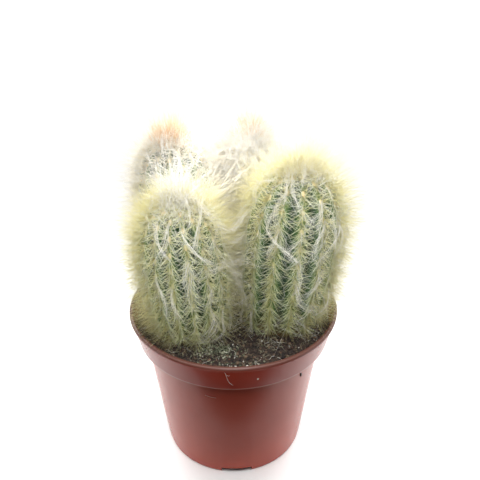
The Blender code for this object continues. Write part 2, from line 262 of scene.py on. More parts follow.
def addLine(stem):
    # outline at fine steps along it: a sine swell up to the widest place, then a blunt dome to the top
    share = 1 - (1 - np.linspace(0, 1, 1500)) ** 2
    widest, foot = stem["widest"], stem["foot"]
    swell = foot + (1 - foot) * np.sin(np.pi / 2 * np.minimum(share / widest, 1))
    past = np.clip((share - widest) / (1 - widest), 0, 1)
    radius = stem["radius"] * np.where(past > 0, np.sqrt(1 - past**2.9), swell)
    height = soilLevel + (stem["top"][2] - soilLevel) * share
    step = np.hypot(np.diff(height), np.diff(radius))
    length = np.concatenate([[0], np.cumsum(step)])
    tilt = np.arctan2(-np.gradient(radius), np.gradient(height))
    stem["line"] = length, height, radius, tilt
    stem["whole"] = length[-1]


def centreAt(stem, height):
    # middle of a stem at a height; it leans in a straight line
    share = (height - soilLevel) / (stem["top"][2] - soilLevel)
    base, top = np.array(stem["base"], float), np.array(stem["top"][:2], float)
    return base + (top - base) * share[..., None]


def frameAt(stem, length, angle):
    # point on the crest surface at a length up the outline, with its outward, upward and across directions
    along, heights, radii, tilts = stem["line"]
    height, radius, tilt = (np.interp(length, along, row) for row in (heights, radii, tilts))
    flat = np.stack([np.cos(angle), np.sin(angle), 0 * angle], -1)
    rise = np.zeros_like(flat)
    rise[..., 2] = 1
    point = flat * radius[..., None] + rise * height[..., None]
    point[..., :2] += centreAt(stem, height)
    outward = flat * np.cos(tilt)[..., None] + rise * np.sin(tilt)[..., None]
    upward = rise * np.cos(tilt)[..., None] - flat * np.sin(tilt)[..., None]
    return point, outward, upward, np.cross(upward, outward), radius


ribs = dict(depth=2.4, swelling=0.45, sharpness=0.75)


def ribDip(stem, angle):
    # 0 on a crest and 1 in a valley: a cosine across each rib, narrowed so that valleys are tight
    wave = (1 - np.cos(stem["ribs"] * (angle - math.radians(stem["phase"])))) / 2
    return wave ** (1 / ribs["sharpness"])


def areoleRows(stem):
    # lengths and angles of all areoles: even steps down each rib, every other rib moved by half a step
    places = []
    for rib in range(stem["ribs"]):
        start = stem["first"] - (stem["pitch"] / 2 if rib % 2 else 0)
        down = np.arange(start, stem["whole"] + 1, stem["pitch"])
        turn = math.radians(stem["phase"]) + rib * math.tau / stem["ribs"]
        places.append(np.stack([stem["whole"] - down, np.full(len(down), turn)], -1))
    places = np.concatenate(places)
    return places[places[:, 0] > 1.0]


def neighbours(name):
    # the other stems
    return [stems[key] for key in stems if key != name]


def roomOf(stem, height):
    # radius a stem takes up at a height; below its widest place it counts as that wide
    return np.interp(height, stem["line"][1], np.maximum.accumulate(stem["line"][2][::-1])[::-1])


def settle(points):
    # lifts points out of the soil and holds them inside the lip
    points = points.copy()
    reach = np.linalg.norm(points[..., :2], axis=-1)
    inside = rimRadius - rest["insideRim"]
    low = (points[..., 2] < potTop + rest["overLip"]) & (reach > inside)
    points[..., :2] *= np.where(low, inside / np.maximum(reach, 1), 1)[..., None]
    points[..., 2] = np.maximum(points[..., 2], soilLevel + rest["overSoil"])
    return points


def shorten(name, paths, draw):
    # hairs that would run into another stem end somewhere in the last 3 mm before its skin, and none of
    # them leaves the room round the plant
    root, tip = paths[:, 0], paths[:, -1]
    share = np.ones(len(paths))
    for axis in range(3):
        low, high = cadBox[0][axis] / mm - hairRoom, cadBox[1][axis] / mm + hairRoom
        edge = np.where(tip[:, axis] > root[:, axis], high, low)
        fit = (edge - root[:, axis]) / (tip[:, axis] - root[:, axis])
        share = np.minimum(share, fit)
    for other in neighbours(name):
        height = np.minimum(paths[..., 2], other["top"][2])
        gap = np.linalg.norm(paths[..., :2] - centreAt(other, height), axis=-1) - roomOf(other, height)
        start, end = gap[:, 0], gap.min(axis=-1)
        margin = draw.uniform(-0.5, 3.0, len(paths))
        fit = (start - margin) / np.maximum(start - end, 0.01)
        share = np.where(end < margin, np.minimum(share, np.clip(fit, 0.08, 1)), share)
    return settle(paths[:, :1] + (paths - paths[:, :1]) * share[:, None, None])


def keepClear(name, points, past=4.0):
    # slows hairs that lie over the skin down past the middle between two stems
    points = points.copy()
    stem = stems[name]
    for other in neighbours(name):
        height = np.minimum(points[..., 2], min(stem["top"][2], other["top"][2]))
        here, there = centreAt(stem, height), centreAt(other, height)
        between = there - here
        distance = np.linalg.norm(between, axis=-1)
        between /= distance[..., None]
        room = roomOf(stem, height)
        middle = room + (distance - room - roomOf(other, height)) / 2 + past
        offset = np.sum((points[..., :2] - here) * between, axis=-1)
        beyond = np.maximum(offset - middle + past, 0)
        held = past * (1 - np.exp(-beyond / past))
        points[..., :2] -= between * (beyond - held)[..., None]
    return settle(points)


# Materials of the plant

def makeSkin():
    # living cactus skin: waxy and grey-green, with painted shade darkening it into the grooves, corky brown
    # at the foot, and hidden by cream felt round the growing tip
    tree, shader = newMaterial("waxy_cactus_skin", Roughness=0.5, Subsurface_Weight=0.15,
                               Subsurface_Scale=0.002)
    dip, foot, felted = (addNode(tree, "Attribute", {"attribute_name": key})
                         for key in ("dip", "foot", "felted"))
    # painted shade: from the crest colour down to nearly black in the grooves
    shade = setRamp(addNode(tree, "ValToRGB", links={"Fac": (dip, "Fac")}),
                    [(0.0, "#687F46"), (0.45, "#2F5026"), (1.0, "#122C14")])
    # pale flecks of wax about 1 mm wide
    _, fleck = addGrain(tree, shader, {"Scale": 900.0, "Detail": 4.0}, 0.4, 0.0003)
    colour = addNode(tree, "Mix", {"data_type": "RGBA", "blend_type": "OVERLAY", 0: 0.5},
                     {6: (shade, "Color"), 7: (fleck, "Fac")})
    for cover, shown in (("#6B5A3A", foot), ("#F5EBC6", felted)):
        colour = addNode(tree, "Mix", {"data_type": "RGBA", 7: fromHex(cover)},
                         {0: (shown, "Fac"), 6: (colour, 2)})
    tree.links.new(colour.outputs[2], shader.inputs["Base Color"])


# spines and hairs: colours from root to tip, the tone that some have instead, how much light comes through
# them, and what the old ones low down are multiplied by, darker partly for their age and partly as painted
# shade
strandKinds = {
    "white_wool": ([(0.0, "#F3EEDC"), (1.0, "#FEFDF9")], "#FFFFFF", 0.3),
    "root_fibres": ([(0.0, "#6F6A55"), (0.5, "#A39F86"), (1.0, "#C6C3AF")], "#5E523E", 0.1),
    "dry_radial_spines": ([(0.0, "#E2DD92"), (0.3, "#F2F2C6"), (1.0, "#FFFFF2")], "#FFFFFF", 0.22, "#DFE6C4"),
    "pale_radial_spines": ([(0.0, "#EBDDB4"), (0.25, "#F6F0DA"), (1.0, "#FFFDF6")], "#FFFFFF", 0.4),
    "fine_bristles": ([(0.0, "#F0E8A6"), (1.0, "#F8F3C8")], "#FDFAE2", 0.7, "#EDEBDA"),
    "pale_bristles": ([(0.0, "#F5E8C8"), (1.0, "#FEF8EA")], "#FFFEF8", 0.55),
    "young_yellow_spines": ([(0.0, "#EAD79C"), (0.4, "#F4ECBE"), (1.0, "#FCFBE2")], "#FDFBE8", 0.35),
    "young_pale_spines": ([(0.0, "#F6E8B4"), (0.4, "#FBF7DC"), (1.0, "#FFFFFA")], "#FFFFFF", 0.2),
    "young_amber_spines": ([(0.0, "#D08F45"), (0.4, "#E9BC7C"), (1.0, "#F7DCB0")], "#F9E8CA", 0.5),
}


def makeStrand(name, stops, toneHex, glow, agedAndShadedHex="#FFFFFF"):
    # dry spine or hair, horn-like and half clear: light from behind comes through, so thin ones shine
    tree, shader = newMaterial(name, Roughness=0.45)
    along, tone, age = (addNode(tree, "Attribute", {"attribute_name": key})
                        for key in ("along", "tone", "age"))
    colour = setRamp(addNode(tree, "ValToRGB", links={"Fac": (along, "Fac")}), stops)
    mixed = addNode(tree, "Mix", {"data_type": "RGBA", 7: fromHex(toneHex)},
                    {0: (tone, "Fac"), 6: (colour, "Color")})
    # spines low down are multiplied darker: partly their age, partly painted shade
    agedAndShaded = addNode(tree, "Mix", {"data_type": "RGBA", "blend_type": "MULTIPLY", 7: fromHex(agedAndShadedHex)},
                   {0: (age, "Fac"), 6: (mixed, 2)})
    tree.links.new(agedAndShaded.outputs[2], shader.inputs["Base Color"])
    through = addNode(tree, "BsdfTranslucent", links={"Color": (agedAndShaded, 2)})
    both = addNode(tree, "MixShader", {"Fac": glow}, {1: (shader, 0), 2: (through, 0)})
    tree.links.new(both.outputs[0], tree.nodes["Material Output"].inputs["Surface"])


# dry bits and felt: colours by each one's own tone, which on felt is its age
bitKinds = {
    "areole_felt": [(0.0, "#F6EBC8"), (0.12, "#F3DDB0"), (0.3, "#E6DAAC"), (0.6, "#CDCB9A"),
                    (1.0, "#A6AB80")],
    "peat_crumbs": [(0.0, "#17110F"), (0.5, "#2E231D"), (0.85, "#45362B"), (1.0, "#6B5A48")],
    "bark_bits": [(0.0, "#3A241B"), (0.5, "#56392B"), (1.0, "#7E6148")],
    "perlite_bits": [(0.0, "#BDB8AC"), (1.0, "#F2EFE8")],
    "moss_crumbs": [(0.0, "#33382A"), (0.5, "#60664C"), (0.85, "#8E917A"), (1.0, "#C2C2AE")],
    "worn_plastic": [(0.0, "#B07A6E"), (1.0, "#C39A90")],
    "pale_grain": [(0.0, "#E0D8C8"), (1.0, "#F2EFE8")],
    "dark_grain": [(0.0, "#1E1512"), (1.0, "#3A241C")],
}


def makeBit(name, stops):
    # peat, bark, perlite, moss, grit or felt: dry and matt
    tree, shader = newMaterial(name, Roughness=0.8)
    tone = addNode(tree, "Attribute", {"attribute_name": "tone"})
    colour = setRamp(addNode(tree, "ValToRGB", links={"Fac": (tone, "Fac")}), stops)
    tree.links.new(colour.outputs[0], shader.inputs["Base Color"])


# Flesh

# corky is how far up from the soil the skin turns brown
flesh = dict(columnsPerRib=8, rowStep=1.3, stubDepth=17.5, stubShoulder=4, stubTaper=0.6, stubLean=0.12,
             corky=14)


def buildFlesh(name):
    # the column: crest outline less the rib's dip, swollen at each areole, on a stub in the soil
    stem = stems[name]
    columns = stem["ribs"] * flesh["columnsPerRib"]
    rows = round(stem["whole"] / flesh["rowStep"])
    length, angle = np.meshgrid(np.linspace(0, stem["whole"] - 0.3, rows),
                                evenTurns(columns) + math.radians(stem["phase"]), indexing="ij")
    point, outward, _, _, radius = frameAt(stem, length, angle)
    dip = ribDip(stem, angle)
    rib = np.round((angle - math.radians(stem["phase"])) * stem["ribs"] / math.tau).astype(int)
    start = stem["whole"] - stem["first"] + np.where(rib % 2, stem["pitch"] / 2, 0)
    swell = (1 + np.cos(math.tau * (length - start) / stem["pitch"])) / 2 * (1 - dip) ** 2
    lift = ribs["swelling"] * swell - ribs["depth"] * dip * radius / stem["radius"]
    lift = lift + 0.15 * lumps(point, 2.5, 3)
    body = point + outward * lift[..., None]
    middle = np.array([*stem["base"], soilLevel])
    lean = 1 - flesh["stubLean"]
    tip = np.array([middle[0] * lean, middle[1] * lean, soilLevel - flesh["stubDepth"]])
    flat = (body[0] - middle) * (1, 1, 0)
    stub = np.stack([tip + flat * flesh["stubTaper"], middle - (0, 0, flesh["stubShoulder"]) + flat])
    points, faces = closeGrid(np.concatenate([stub, body]), [tip, body[-1].mean(axis=0)])
    foot = np.clip(1 - length / flesh["corky"], 0, 1) ** 1.5
    felted = 1.6 - 1.6 * (stem["whole"] - length) / stem["felted"] + 0.35 * lumps(point, 2.0, 8)
    # dip also sets the skin's painted shade in the grooves
    # low is the value on the stub and its pole, and the pole on top has the other one
    tones = (("dip", dip, 1), ("foot", foot, 1), ("felted", np.clip(felted, 0, 1), 0))
    values = {key: np.concatenate([np.full(2 * columns, low), shares.ravel(), [low, 1 - low]])
              for key, shares, low in tones}
    buildMesh(f"flesh_{name}", points, faces, "waxy_cactus_skin", values, True,
              [f"stem_{name}"])


# Areoles and their spines

pads = dict(width=1.0, height=1.7, thickness=0.7, sides=8)


def buildPads(name):
    # felt cushion on each areole: a dome of three rings, longer down the rib than across
    stem = stems[name]
    place = areoleRows(stem)
    point, outward, upward, across, _ = frameAt(stem, place[:, 0], place[:, 1])
    sides = pads["sides"]
    turn = evenTurns(sides)
    layers = [point[:, None] + across[:, None] * (pads["width"] * out * np.cos(turn))[None, :, None]
              + upward[:, None] * (pads["height"] * out * np.sin(turn))[None, :, None]
              + outward[:, None] * pads["thickness"] * up
              for out, up in ((1.0, -0.5), (0.85, 0.45), (0.45, 0.9))]
    poles = [(point + outward * pads["thickness"] * up)[:, None] for up in (-0.6, 1)]
    points = np.concatenate([*layers, *poles], axis=1)
    points = points + 0.18 * lumps(points, 0.8, 5)[..., None] * outward[:, None]
    size = points.shape[1]
    faces = [wrapFaces(3, sides), capFaces(0, sides, size - 2, False),
             capFaces(2 * sides, sides, size - 1, True)]
    ages = np.repeat((stem["whole"] - place[:, 0]) / stem["whole"], size)
    buildMesh(f"felt_pads_{name}", points.reshape(-1, 3), repeatFaces(faces, len(place), size),
              "areole_felt", {"tone": ages})


# thickness is a radius. spread is how far roots stray along the rib, over the areoles' pitch, scatter how far
# in degrees a spine strays from its side, and anyWay the share of spines that point anywhere. inward is the
# share of outer bristles kept low down where the stems shade each other.
spines = dict(centrals=7, length=(4.5, 10.5), thickness=0.17, droop=0.06, spread=0.28, scatter=34,
              anyWay=0.27, seed=21)
bristles = dict(length=(8, 20), thickness=0.05, droop=0.05, spread=0.3, inward=0.25)


def startDraw(seed, name, names=stems):
    # random numbers of one stem or sling: a seed and its place in the dictionary
    return np.random.default_rng(seed + list(names).index(name))


def spineRoots(stem, each):
    # the place and directions of every spine's areole, and how old that areole is: 0 at the crown, 1 low down
    place = np.repeat(areoleRows(stem), each, axis=0)
    age = np.clip((stem["whole"] - place[:, 0]) / stem["whole"], 0, 1)
    return place, frameAt(stem, place[:, 0], place[:, 1])[:4], age


def aimAt(directions, turn, stand, droop):
    # heading: a turn from straight up along the skin, raised off it by the angle stand, and drawn down a bit
    outward, upward, across = directions
    flat = upward * np.cos(turn)[:, None] + across * np.sin(turn)[:, None]
    return flat * np.cos(stand)[:, None] + outward * np.sin(stand)[:, None] + np.array([0, 0, -droop])


def straightPaths(root, heading, length):
    # two points for each spine, its root and its tip
    return np.stack([root, root + heading * length[:, None]], axis=1)


def buildSpines(name, look):
    # each areole's spines: radials that sweep sideways and down over the skin, centrals that stand off it
    stem = stems[name]
    draw = startDraw(spines["seed"], name)
    each = stem["radials"] + spines["centrals"]
    place, (point, outward, upward, across), age = spineRoots(stem, each)
    count = len(place)
    central = np.arange(count) % each >= stem["radials"]
    side = np.where(draw.random(count) < 0.5, -1, 1)
    lobe = 108 + 20 * np.minimum(age * 3, 1) + draw.normal(0, spines["scatter"], count)  # from straight up
    anyWay = draw.random(count) < spines["anyWay"]
    turn = np.where(anyWay, draw.uniform(0, math.tau, count), np.radians(lobe) * side)
    stand = np.radians(np.where(central, draw.uniform(35, 85, count), draw.uniform(4, 30, count)))
    length = draw.uniform(*spines["length"], count) * (0.8 + 0.2 * np.minimum(age * 6, 1))
    spread = draw.uniform(0.1, 1.0, count)[:, None]
    root = (point + upward * (np.cos(turn) * pads["height"])[:, None] * spread
            + across * (np.sin(turn) * pads["width"] * 0.8)[:, None] * spread + outward * 0.3)
    root = root + upward * draw.normal(0, stem["pitch"] * spines["spread"], count)[:, None]
    paths = straightPaths(root, aimAt((outward, upward, across), turn, stand, spines["droop"]), length)
    radii = spines["thickness"] * draw.uniform(0.65, 1.15, count)[:, None] * np.array([1.0, 0.0])
    tones = draw.random(count) ** 2
    strandMesh(f"spines_{name}", shorten(name, paths, draw), radii, look, tones, age,
               [f"stem_{name}"])


def buildBristles(name, look):
    # hair-fine bristles that stand out all round an areole and make the pale edge of a stem
    stem = stems[name]
    draw = startDraw(spines["seed"] + 10, name)
    each = stem["bristles"] + stem["outer"]
    place, directions, age = spineRoots(stem, each)
    inward = np.cos(place[:, 1]) * stem["base"][0] < 0
    facing = np.cos(place[:, 1]) ** 2 * np.where(inward & (age > 0.4), bristles["inward"], 1)
    kept = (np.arange(len(place)) % each < stem["bristles"]) | (draw.random(len(place)) < facing)
    point, outward, upward, across, age = (row[kept] for row in (*directions, age))
    count = len(point)
    turn = draw.uniform(0, math.tau, count)
    stand = np.radians(draw.uniform(32, 90, count))
    length = draw.uniform(*bristles["length"], count)
    root = point + upward * draw.normal(0, stem["pitch"] * bristles["spread"], count)[:, None]
    paths = straightPaths(root, aimAt((outward, upward, across), turn, stand, bristles["droop"]), length)
    radii = bristles["thickness"] * draw.uniform(0.7, 1.2, count)[:, None] * np.array([1.0, 0.0])
    strandMesh(f"bristles_{name}", shorten(name, paths, draw), radii, look, draw.random(count), age)


# Wool

# laid and bridge are a lock's hairs, how far they lie apart and how far its ends fan out
wool = dict(perLock=11, length=(10, 26), lockLength=(14, 30), thickness=0.055, steps=7, seed=47,
            flight=(10, 20), fall=0.35, flightThickness=0.045, laid=(12, 0.34, 1.3), bridge=(26, 0.8, 2.5))

# locks laid where the plant's front shows them: distance down from the crown in mm, bearing in
# degrees (-90 faces the viewer) and height over the skin in mm
laidLocks = {
    "front_right": [[(3, -62, 5), (9, -84, 5), (15, -93, 3)],
                    [(12, -112, 3), (19, -98, 4.5), (25, -87, 3)],
                    [(9, -120, 4), (16, -112, 4), (23, -113, 3)],
                    [(25, -121, 4), (30, -123, 5), (35, -114, 5), (41, -96, 4.5), (46, -84, 3)],
                    [(20, -66, 4), (27, -69, 4.5), (34, -72, 3)],
                    [(27, -55, 4), (35, -50, 4.5), (45, -43, 3)],
                    [(44, -86, 3), (54, -83, 4), (64, -87, 3)],
                    [(50, -58, 3), (58, -66, 4), (64, -80, 3)]],
    "front_left": [[(2, -90, 7), (6, -66, 6), (11, -64, 5), (19, -73, 3)],
                   [(9, -30, 6), (14, -48, 5), (20, -62, 4), (27, -70, 3)],
                   [(14, -118, 4), (21, -112, 5), (26, -103, 5), (31, -96, 3)],
                   [(18, -82, 3), (24, -74, 4), (30, -60, 4), (34, -44, 3)],
                   [(30, -76, 3), (37, -84, 4), (46, -80, 3)]],
}
# locks that hang from one front stem to the other, as x, y and z
bridges = [
    [(-17, -18, 147), (-10, -23, 141), (-3, -21, 132), (1, -15, 130.5), (5, -9, 135), (9, -10, 141)],
    [(-14, -35, 119), (-7, -32, 119.5), (-2, -24, 117), (4, -19, 116), (10, -21, 118)],
    [(-4, -27, 121), (0, -21, 114), (2, -19, 106), (5, -17, 98), (6, -18, 87)],
    [(-8, -25, 134), (-2, -20, 126), (3, -14, 124), (8, -16, 128)],
]
# hairs slung between stems: from a stem and bearing to another, how many, between which heights, how far
# the bearings stray, how thick they are and what they look like
slings = {
    "cobweb_wool": ("front_left", -20, "front_right", -150, 36, (80, 134), 16, 0.045, "white_wool"),
    "back_sling_wool": ("back_left", 0, "back_right", 180, 420, (100, 158), 30, 0.07, "pale_bristles"),
    "left_sling_wool": ("front_left", 60, "back_right", -115, 220, (100, 150), 24, 0.07, "pale_bristles"),
    "right_sling_wool": ("front_right", 125, "back_right", -65, 220, (100, 155), 24, 0.07, "pale_bristles"),
    "side_sling_wool": ("front_left", 95, "back_left", -75, 180, (95, 148), 26, 0.07, "pale_bristles"),
}


def smoothLine(points, steps):
    # Catmull-Rom curve through the points, read at even parameter steps
    points = np.asarray(points, float)
    ends = np.concatenate([[2 * points[0] - points[1]], points, [2 * points[-1] - points[-2]]])
    place = np.linspace(0, len(points) - 1, steps)
    index = np.minimum(place.astype(int), len(points) - 2)
    t = (place - index)[:, None]
    a, b, c, d = (ends[index + k] for k in range(4))
    return (2 * b + (c - a) * t + (2 * a - 5 * b + 4 * c - d) * t**2 + (3 * b - a - 3 * c + d) * t**3) / 2


def hairPaths(stem, start, heading, length, wave, lift, steps):
    # hairs that walk over the skin: the heading swings like a sine, and the lift arches up and back
    share = np.linspace(0, 1, steps)[None]
    swing = heading[:, None] + wave[:, 0:1] * np.sin(wave[:, 1:2] * share + wave[:, 2:3])
    step = length[:, None] / (steps - 1)
    down = np.cumsum(np.cos(swing) * step, axis=1) - np.cos(swing[:, :1]) * step
    over = np.cumsum(np.sin(swing) * step, axis=1) - np.sin(swing[:, :1]) * step
    reach = np.clip(start[:, 0:1] - down, 0.5, stem["whole"] - 0.5)
    radius = np.maximum(np.interp(reach, stem["line"][0], stem["line"][2]), 4)
    turn = start[:, 1:2] + over / radius
    point, outward, _, _, _ = frameAt(stem, reach, turn)
    arch = lift[:, None] * np.sin(np.pi * np.minimum(share * 0.9 + 0.06, 1)) ** 0.7
    return point + outward * arch[..., None]


def buildFlying(prefix, name, place, draw, length, fall, rise, thickness, look):
    # hairs that leave the skin and bend over: a straight start, a random curl and a fall that grows squared
    stem = stems[name]
    count = len(place)
    point, outward, upward, _, _ = frameAt(stem, place[:, 0], place[:, 1])
    heading = unit(outward * 0.8 + upward * 0.4 + draw.normal(0, 0.45, (count, 3)) + np.array([0, 0, rise]))
    size = draw.uniform(*length, count)[:, None, None]
    share = np.linspace(0, 1, 5)[None, :, None]
    curl = draw.normal(0, 0.35, (count, 1, 3)) - np.array([0, 0, fall])
    paths = shorten(name, point[:, None] + size * (heading[:, None] * share + curl * share**2), draw)
    radii = thickness * draw.uniform(0.7, 1.3, count)[:, None] * np.linspace(1, 0.5, 5)
    strandMesh(f"{prefix}_{name}", paths, radii, look, draw.random(count))


def drawWaves(draw, swing, turns, count):
    # how far, how often and from where the headings of hairs swing
    return np.stack([draw.uniform(*swing, count), draw.uniform(*turns, count),
                     draw.uniform(0, math.tau, count)], -1)


def lockPaths(line, draw, count, spread, fan):
    # hairs of one lock: each keeps its own distance from the lock's line and strays further towards the ends
    steps = len(line)
    away = draw.normal(0, spread, (count, 1, 3))
    share = np.linspace(-1, 1, steps)[None, :, None]
    stray = draw.normal(0, fan, (count, 1, 3)) * share**2 * np.sign(share)
    ripple = draw.normal(0, 0.45, (count, 1, 3)) * np.sin(share * draw.uniform(3, 7, (count, 1, 1)))
    return line[None] + away + stray + ripple


def buildWool(name):
    # long wavy hairs from the areoles: loose ones all over, and locks of several that run together
    stem = stems[name]
    draw = startDraw(wool["seed"], name)
    place = areoleRows(stem)
    count = stem["hairs"]
    high = place[draw.choice(len(place), count)]
    high = high + np.stack([draw.normal(0, 0.8, count), draw.normal(0, 0.04, count)], -1)
    wave = drawWaves(draw, (0.3, 0.9), (5, 11), count)
    loose = hairPaths(stem, high, draw.normal(0, 0.8, count), draw.uniform(*wool["length"], count),
                      wave, draw.gamma(2.5, 1.1, count) + 0.8, wool["steps"])
    locks = stem["locks"]
    lead = place[draw.choice(len(place), locks)]
    one = np.repeat(np.arange(locks), wool["perLock"])
    heading = draw.normal(0, 0.55, locks)[one] + draw.normal(0, 0.06, len(one))
    wave = drawWaves(draw, (0.2, 0.7), (4, 8), locks)[one]
    lift = draw.uniform(2.5, 5.5, locks)[one] + draw.normal(0, 0.35, len(one))
    length = draw.uniform(*wool["lockLength"], locks)[one] * draw.uniform(0.8, 1.0, len(one))
    start = lead[one] + np.stack([draw.normal(0, 0.35, len(one)), draw.normal(0, 0.016, len(one))], -1)
    bunched = hairPaths(stem, start, heading, length, wave, lift, wool["steps"])
    paths = [keepClear(name, np.concatenate([loose, bunched]))]
    for lock in laidLocks.get(name, []):
        down, bearing, height = np.array(lock, float).T
        point, outward, _, _, _ = frameAt(stem, stem["whole"] - down, np.radians(bearing))
        line = smoothLine(point + outward * height[:, None], wool["steps"])
        paths.append(lockPaths(line, draw, *wool["laid"]))
    paths = np.concatenate(paths)
    taper = np.linspace(1, 0.6, wool["steps"])
    radii = wool["thickness"] * draw.uniform(0.7, 1.3, len(paths))[:, None] * taper
    strandMesh(f"wool_{name}", paths, radii, "white_wool", draw.random(len(paths)))
    place = place[stem["whole"] - place[:, 0] < stem["fluffy"]]
    count = stem["flights"]
    high = place[draw.choice(len(place), count)] + draw.normal(0, 0.5, (count, 2)) * (1, 0.1)
    buildFlying("flying_wool", name, high, draw, wool["flight"], wool["fall"], 0, wool["flightThickness"],
                "white_wool")


def buildSling(name, laid=()):
    # thin hairs slung between two stems' near sides, with some sag, and the locks that bridge them
    left, leftBearing, right, rightBearing, count, heights, stray, thickness, look = slings[name]
    draw = startDraw(wool["seed"] + 20, name, slings)
    ends = []
    for stem, bearing in ((stems[left], leftBearing), (stems[right], rightBearing)):
        height = draw.uniform(*heights, count) + draw.normal(0, 2, count)
        height = np.clip(height, soilLevel + 2, stem["top"][2] - 4)
        length = np.interp(height, stem["line"][1], stem["line"][0])
        turn = np.radians(draw.normal(bearing, stray, count))
        point, outward, _, _, _ = frameAt(stem, length, turn)
        ends.append(point + outward * draw.uniform(0.5, 5, count)[:, None])
    ends[1][:, 2] = ends[0][:, 2] + draw.normal(-1, 7, count)
    ends[1][:, 2] = np.clip(ends[1][:, 2], soilLevel + 2, heights[1] + 6)
    share = np.linspace(0, 1, wool["steps"])[None, :, None]
    slack = np.array([0, -0.3, -1.0]) * draw.uniform(0, 4, (count, 1, 1)) * np.sin(np.pi * share)
    web = ends[0][:, None] * (1 - share) + ends[1][:, None] * share + slack
    web = web + draw.normal(0, 0.9, (count, 1, 3)) * np.sin(share * draw.uniform(4, 9, (count, 1, 1)))
    paths = [web] + [lockPaths(smoothLine(bridge, wool["steps"]), draw, *wool["bridge"]) for bridge in laid]
    paths = settle(np.concatenate(paths))
    radii = thickness * draw.uniform(0.7, 1.3, len(paths))[:, None] * np.ones(wool["steps"])
    strandMesh(name, paths, radii, look, draw.random(len(paths)))


# Crowns

# spines, wool and flights are counts. reach is how far down the spines' roots go, soft how far they stray
# from it, upright how far a spine is drawn straight up, and rise how far a flying hair is. fluff and
# thickness are the flying hairs' length and radius.
crowns = {
    "front_right": dict(spines=750, reach=7.5, length=(11, 24), upright=0.35, spread=0.60, rise=0.7,
                        wool=120, flights=450, fluff=(12, 25), thickness=0.05, soft=0.4),
    "front_left": dict(spines=600, reach=6.0, length=(8, 16), upright=0.45, spread=0.50, rise=1.4,
                       wool=150, flights=300, fluff=(12, 25), thickness=0.08, soft=0.3),
    "back_left": dict(spines=900, reach=9.0, length=(10, 19), upright=0.65, spread=0.28, rise=0.6,
                      wool=150, flights=200, fluff=(9, 18), thickness=0.045, soft=0.35),
    "back_right": dict(spines=900, reach=8.0, length=(10, 19), upright=0.50, spread=0.38, rise=0.6,
                       wool=400, flights=800, fluff=(9, 20), thickness=0.06, soft=0.3),
}
tufts = dict(thickness=0.07, wool=(8, 18), fall=0.25, seed=83)  # what all four share


def buildCrown(name, tuft, fluff):
    # tuft of young spines: roots in a sunflower spiral on the dome, drawn between outward and straight up
    stem, crown = stems[name], crowns[name]
    draw = startDraw(tufts["seed"], name)
    count = crown["spines"]
    index = np.arange(count) + 0.5
    down = crown["reach"] * np.sqrt(index / count) * np.exp(draw.normal(0, crown["soft"], count))
    turn = index * math.pi * (3 - math.sqrt(5))
    point, outward, _, _, _ = frameAt(stem, stem["whole"] - down, turn)
    heading = outward * (1 - crown["upright"]) + np.array([0, 0, crown["upright"]])
    heading = unit(heading + draw.normal(0, crown["spread"], (count, 3)))
    length = draw.uniform(*crown["length"], count) * (1 - 0.3 * np.minimum(down / crown["reach"], 1.5) ** 2)
    radii = tufts["thickness"] * draw.uniform(0.7, 1.2, count)[:, None] * np.array([1.0, 0.0])
    strandMesh(f"tuft_{name}", shorten(name, straightPaths(point, heading, length), draw), radii,
               tuft, draw.random(count) ** 2, None, [f"crown_{name}"])
    count = crown["wool"]
    start = np.stack([stem["whole"] - draw.uniform(1.5, crown["reach"], count),
                      draw.uniform(0, math.tau, count)], -1)
    wave = drawWaves(draw, (0.4, 1.1), (5, 10), count)
    paths = hairPaths(stem, start, draw.normal(0, 0.9, count), draw.uniform(*tufts["wool"], count), wave,
                      draw.uniform(2, 6.5, count), wool["steps"])
    radii = np.full((count, wool["steps"]), wool["thickness"])
    strandMesh(f"crown_wool_{name}", keepClear(name, paths), radii, "white_wool", draw.random(count))
    count = crown["flights"]
    start = np.stack([stem["whole"] - 1.5 * crown["reach"] * np.sqrt(draw.random(count)) - 0.5,
                      draw.uniform(0, math.tau, count)], -1)
    buildFlying("crown_flights", name, start, draw, crown["fluff"], tufts["fall"], crown["rise"],
                crown["thickness"], fluff)


# Pot

pot = dict(
    columns=192, slotColumns=13, slots=4, slotTurn=2.5,
    # corners as radius, height and rounding, from the middle of the underside out, up and back inside
    under=[(2.0, 0.0, 0), (30.5, 0.0, 0), (36.9, 0.0, 1.1), (37.4, 3.0, 0)],
    outside=[(45.3, 66.3, 0.5), (48.8, 66.3, 0.7), (51.6, 79.0, 0.4), (52.5, 79.5, 0.5), (52.5, 81.4, 1.0)],
    mouth=[(50.5, 81.4, 0.7), (50.2, 79.6, 0.5), (47.6, 67.5, 0.8), (44.1, 65.7, 0.8), (36.2, 3.0, 0)],
    floor=[(35.9, 1.6, 0.9), (30.5, 1.6, 0), (2.0, 1.6, 0)],
)


def roundedLine(corners, samples=6):
    # a polyline whose corners are eased by short curves that start a rounding away on either side
    corners = [np.array(place, float) for place in corners]
    line = [corners[0][:2]]
    for before, corner, after in zip(corners, corners[1:], corners[2:]):
        here, rounding = corner[:2], corner[2]
        if not rounding:
            line.append(here)
            continue
        back, ahead = before[:2] - here, after[:2] - here
        first = here + back / np.linalg.norm(back) * min(rounding, np.linalg.norm(back) / 2)
        last = here + ahead / np.linalg.norm(ahead) * min(rounding, np.linalg.norm(ahead) / 2)
        part = np.linspace(0, 1, samples)[:, None]
        line.extend((1 - part) ** 2 * first + 2 * part * (1 - part) * here + part**2 * last)
    line.append(corners[-1][:2])
    return np.array(line)


